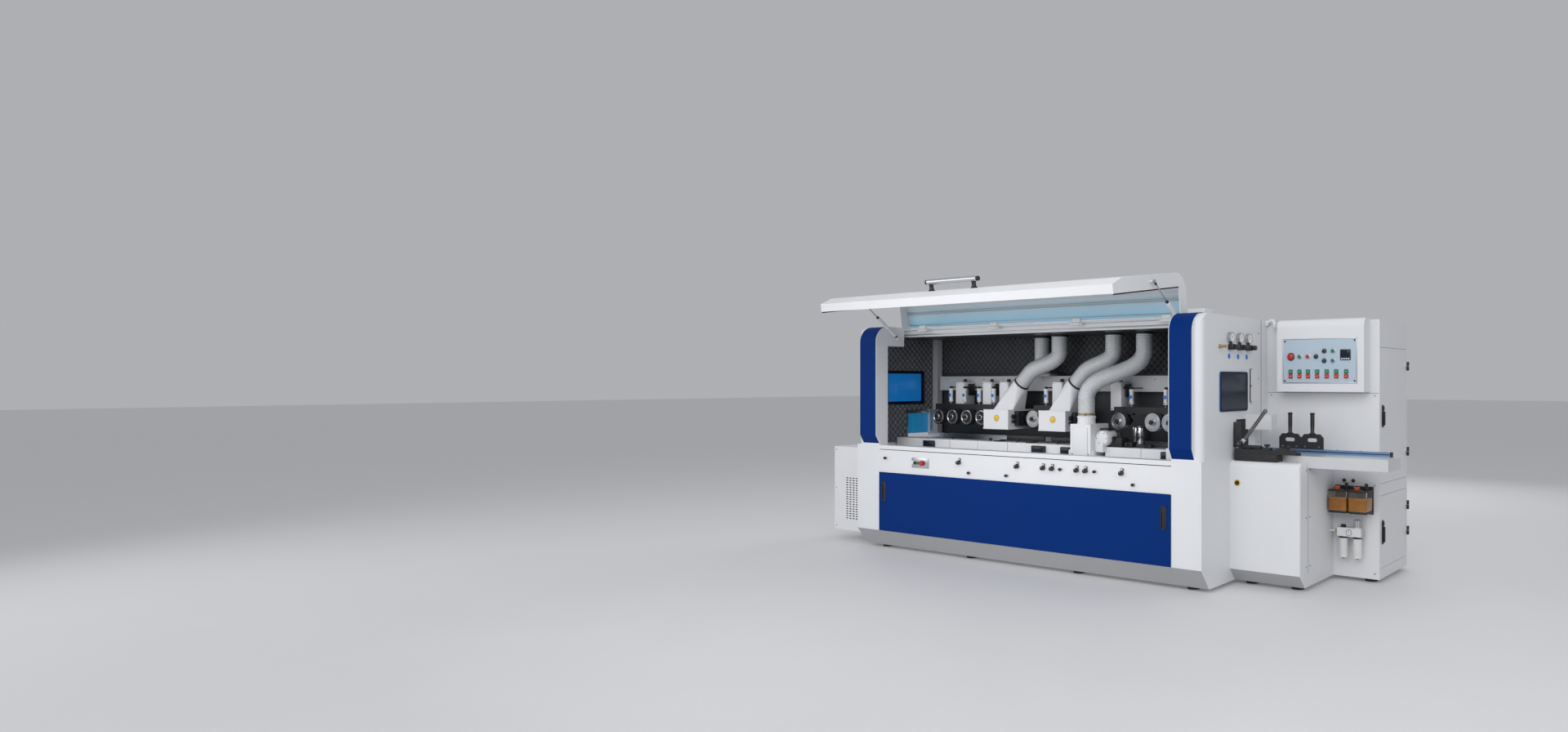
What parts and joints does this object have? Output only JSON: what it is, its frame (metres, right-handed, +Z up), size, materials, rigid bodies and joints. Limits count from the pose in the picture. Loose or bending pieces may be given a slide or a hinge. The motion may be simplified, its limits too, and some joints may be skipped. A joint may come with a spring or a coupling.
{
  "type": "four sided moulder",
  "caption": "Floor standing four sided moulder with raised sound hood, feed rollers, cutter spindles, dust hoses, infeed table and control cabinet.",
  "frame": {"origin": "middle of the bottom of the machine's box with the hood up, on the floor", "axes": "+X along the work line towards the infeed table, +Y from the operator's side to the back, +Z up"},
  "size_m": [4.435, 2.0974, 1.9586],
  "materials": {
    "aluminium": "satin",
    "belt": "matte",
    "black_plastic": "fine grain",
    "blue_paint": "smooth satin paint",
    "cast_white": "painted casting",
    "curtain": "soft tinted strip",
    "dark_steel": "dark coated steel",
    "foam": "profiled foam, matte",
    "foot": "matte",
    "green_plastic": "gloss",
    "grey_paint": "satin paint",
    "hose": "translucent hose with wire ribs",
    "motor": "painted casting",
    "oil_tank": "translucent tank",
    "panel_plate": "satin film",
    "polished": "polished",
    "red_plastic": "gloss",
    "steel": "ground",
    "white_paint": "smooth satin paint",
    "window": "tinted clear"
  },
  "bodies": {
    "machine": {"base_cabinet": "white_paint", "levelling_feet": "foot", "outfeed_frame": "white_paint", "infeed_frame": "white_paint", "pillar_cheeks": "blue_paint", "rear_housing": "white_paint", "roof_plenum": "white_paint", "acoustic_lining": "foam", "view_windows": "window", "machine_bed": "cast_white", "bed_plates": "steel", "feed_beam": "grey_paint", "roller_arms": "dark_steel", "air_cylinders": "aluminium", "suction_hoods": "white_paint", "dust_hoses": "hose", "spindle_carriers": "dark_steel", "spindle_motors": "motor", "drive_belts": "belt", "outfeed_cabinet": "white_paint", "outfeed_curtain": "curtain", "infeed_cabinet": "white_paint", "infeed_table": "steel", "guide_fence": "steel", "fence_brackets": "dark_steel", "pressure_unit": "dark_steel", "control_cabinet": "white_paint", "control_console": "white_paint", "console_panel": "panel_plate", "sill_adjusters": "black_plastic", "pressure_regulators": "black_plastic", "lubrication_units": "oil_tank", "air_service_unit": "white_paint"},
    "hood": {"hood_shell": "white_paint", "hood_handle": "aluminium"},
    "outfeed_strut_tube": {"outfeed_strut_tube": "aluminium"},
    "outfeed_strut_rod": {"outfeed_strut_rod": "polished"},
    "infeed_strut_tube": {"infeed_strut_tube": "aluminium"},
    "infeed_strut_rod": {"infeed_strut_rod": "polished"},
    "feed_roller_1": {"feed_roller_1": "polished"},
    "feed_roller_2": {"feed_roller_2": "polished"},
    "feed_roller_3": {"feed_roller_3": "polished"},
    "feed_roller_4": {"feed_roller_4": "polished"},
    "feed_roller_5": {"feed_roller_5": "polished"},
    "feed_roller_6": {"feed_roller_6": "polished"},
    "feed_roller_7": {"feed_roller_7": "polished"},
    "feed_roller_8": {"feed_roller_8": "polished"},
    "bottom_spindle": {"bottom_spindle": "steel"},
    "front_side_spindle": {"front_side_spindle": "steel"},
    "rear_side_spindle": {"rear_side_spindle": "steel"},
    "top_spindle_1": {"top_spindle_1": "steel"},
    "top_spindle_2": {"top_spindle_2": "steel"},
    "upper_door": {"upper_door": "white_paint"},
    "lower_door": {"lower_door": "white_paint"},
    "front_panel": {"front_panel": "blue_paint"},
    "emergency_stop": {"emergency_stop": "red_plastic"},
    "sill_stop": {"sill_stop": "red_plastic"},
    "start_buttons": {"start_buttons": "green_plastic"},
    "stop_buttons": {"stop_buttons": "red_plastic"},
    "clamp_lever": {"clamp_lever": "polished"}
  },
  "joints": [
    {"name": "hood_hinge", "type": "hinge", "parent": "machine", "child": "hood", "pos_m": [-0.2515, -0.20432, 1.675], "axis": [1, 0, 0], "range_deg": [0, 82]},
    {"name": "outfeed_strut_tilt", "type": "hinge", "parent": "machine", "child": "outfeed_strut_tube", "pos_m": [-1.5105, -0.29132, 1.61], "axis": [1, 0, 0], "range_deg": [0, 101.06]},
    {"name": "outfeed_strut_slide", "type": "slide", "parent": "outfeed_strut_tube", "child": "outfeed_strut_rod", "axis": [0, -0.8039, 0.5948], "range_m": [-0.0599, 0]},
    {"name": "infeed_strut_tilt", "type": "hinge", "parent": "machine", "child": "infeed_strut_tube", "pos_m": [1.0285, -0.29132, 1.61], "axis": [1, 0, 0], "range_deg": [0, 101.06]},
    {"name": "infeed_strut_slide", "type": "slide", "parent": "infeed_strut_tube", "child": "infeed_strut_rod", "axis": [0, -0.8039, 0.5948], "range_m": [-0.0599, 0]},
    {"name": "feed_roller_1_spin", "type": "hinge", "parent": "machine", "child": "feed_roller_1", "pos_m": [-1.38744, 0.05068, 1.0045], "axis": [0, 1, 0], "continuous": true},
    {"name": "feed_roller_2_spin", "type": "hinge", "parent": "machine", "child": "feed_roller_2", "pos_m": [-1.23744, 0.05068, 1.0045], "axis": [0, 1, 0], "continuous": true},
    {"name": "feed_roller_3_spin", "type": "hinge", "parent": "machine", "child": "feed_roller_3", "pos_m": [-1.08744, 0.05068, 1.0045], "axis": [0, 1, 0], "continuous": true},
    {"name": "feed_roller_4_spin", "type": "hinge", "parent": "machine", "child": "feed_roller_4", "pos_m": [-0.93744, 0.05068, 1.0045], "axis": [0, 1, 0], "continuous": true},
    {"name": "feed_roller_5_spin", "type": "hinge", "parent": "machine", "child": "feed_roller_5", "pos_m": [-0.42438, 0.05068, 1.0045], "axis": [0, 1, 0], "continuous": true},
    {"name": "feed_roller_6_spin", "type": "hinge", "parent": "machine", "child": "feed_roller_6", "pos_m": [0.33163, 0.05068, 1.0045], "axis": [0, 1, 0], "continuous": true},
    {"name": "feed_roller_7_spin", "type": "hinge", "parent": "machine", "child": "feed_roller_7", "pos_m": [0.60959, 0.05068, 1.0045], "axis": [0, 1, 0], "continuous": true},
    {"name": "feed_roller_8_spin", "type": "hinge", "parent": "machine", "child": "feed_roller_8", "pos_m": [0.74359, 0.05068, 1.0045], "axis": [0, 1, 0], "continuous": true},
    {"name": "bottom_spindle_spin", "type": "hinge", "parent": "machine", "child": "bottom_spindle", "pos_m": [0.91863, 0.13068, 0.765], "axis": [0, 1, 0], "continuous": true},
    {"name": "top_spindle_1_spin", "type": "hinge", "parent": "machine", "child": "top_spindle_1", "pos_m": [-0.71048, 0.13068, 1.002], "axis": [0, 1, 0], "continuous": true},
    {"name": "top_spindle_2_spin", "type": "hinge", "parent": "machine", "child": "top_spindle_2", "pos_m": [-0.18203, 0.13068, 1.002], "axis": [0, 1, 0], "continuous": true},
    {"name": "front_side_spindle_spin", "type": "hinge", "parent": "machine", "child": "front_side_spindle", "pos_m": [0.17862, -0.06432, 0.7], "axis": [0, 0, 1], "continuous": true},
    {"name": "rear_side_spindle_spin", "type": "hinge", "parent": "machine", "child": "rear_side_spindle", "pos_m": [0.35064, 0.26868, 0.7], "axis": [0, 0, 1], "continuous": true},
    {"name": "upper_door_hinge", "type": "hinge", "parent": "machine", "child": "upper_door", "pos_m": [2.0275, 1.03968, 1.065], "axis": [0, 0, 1], "range_deg": [0, 110]},
    {"name": "lower_door_hinge", "type": "hinge", "parent": "machine", "child": "lower_door", "pos_m": [2.0275, 1.03968, 0.32], "axis": [0, 0, 1], "range_deg": [0, 110]},
    {"name": "front_panel_pull", "type": "slide", "parent": "machine", "child": "front_panel", "axis": [0, -1, 0], "range_m": [0, 0.12]},
    {"name": "clamp_lever_hinge", "type": "hinge", "parent": "machine", "child": "clamp_lever", "pos_m": [1.3105, -0.05432, 0.892], "axis": [0, 1, 0], "range_deg": [-30, 40]},
    {"name": "emergency_stop_press", "type": "slide", "parent": "machine", "child": "emergency_stop", "axis": [0, 1, 0], "range_m": [0, 0.004], "stiffness_N_per_m": 1500},
    {"name": "sill_stop_press", "type": "slide", "parent": "machine", "child": "sill_stop", "axis": [0, 1, 0], "range_m": [0, 0.004], "stiffness_N_per_m": 1500},
    {"name": "start_buttons_press", "type": "slide", "parent": "machine", "child": "start_buttons", "axis": [0, 1, 0], "range_m": [0, 0.004], "stiffness_N_per_m": 1500},
    {"name": "stop_buttons_press", "type": "slide", "parent": "machine", "child": "stop_buttons", "axis": [0, 1, 0], "range_m": [0, 0.004], "stiffness_N_per_m": 1500}
  ],
  "couplings": [
    {"joint": "outfeed_strut_tilt", "follows": "hood_hinge", "ratio": 1.2203},
    {"joint": "outfeed_strut_slide", "follows": "hood_hinge", "m_per_rad": -0.039763},
    {"joint": "infeed_strut_tilt", "follows": "hood_hinge", "ratio": 1.2203},
    {"joint": "infeed_strut_slide", "follows": "hood_hinge", "m_per_rad": -0.039763},
    {"joint": "feed_roller_2_spin", "follows": "feed_roller_1_spin", "ratio": 1},
    {"joint": "feed_roller_3_spin", "follows": "feed_roller_1_spin", "ratio": 1},
    {"joint": "feed_roller_4_spin", "follows": "feed_roller_1_spin", "ratio": 1},
    {"joint": "feed_roller_5_spin", "follows": "feed_roller_1_spin", "ratio": 1},
    {"joint": "feed_roller_6_spin", "follows": "feed_roller_1_spin", "ratio": 1},
    {"joint": "feed_roller_7_spin", "follows": "feed_roller_1_spin", "ratio": 1},
    {"joint": "feed_roller_8_spin", "follows": "feed_roller_1_spin", "ratio": 1}
  ]
}
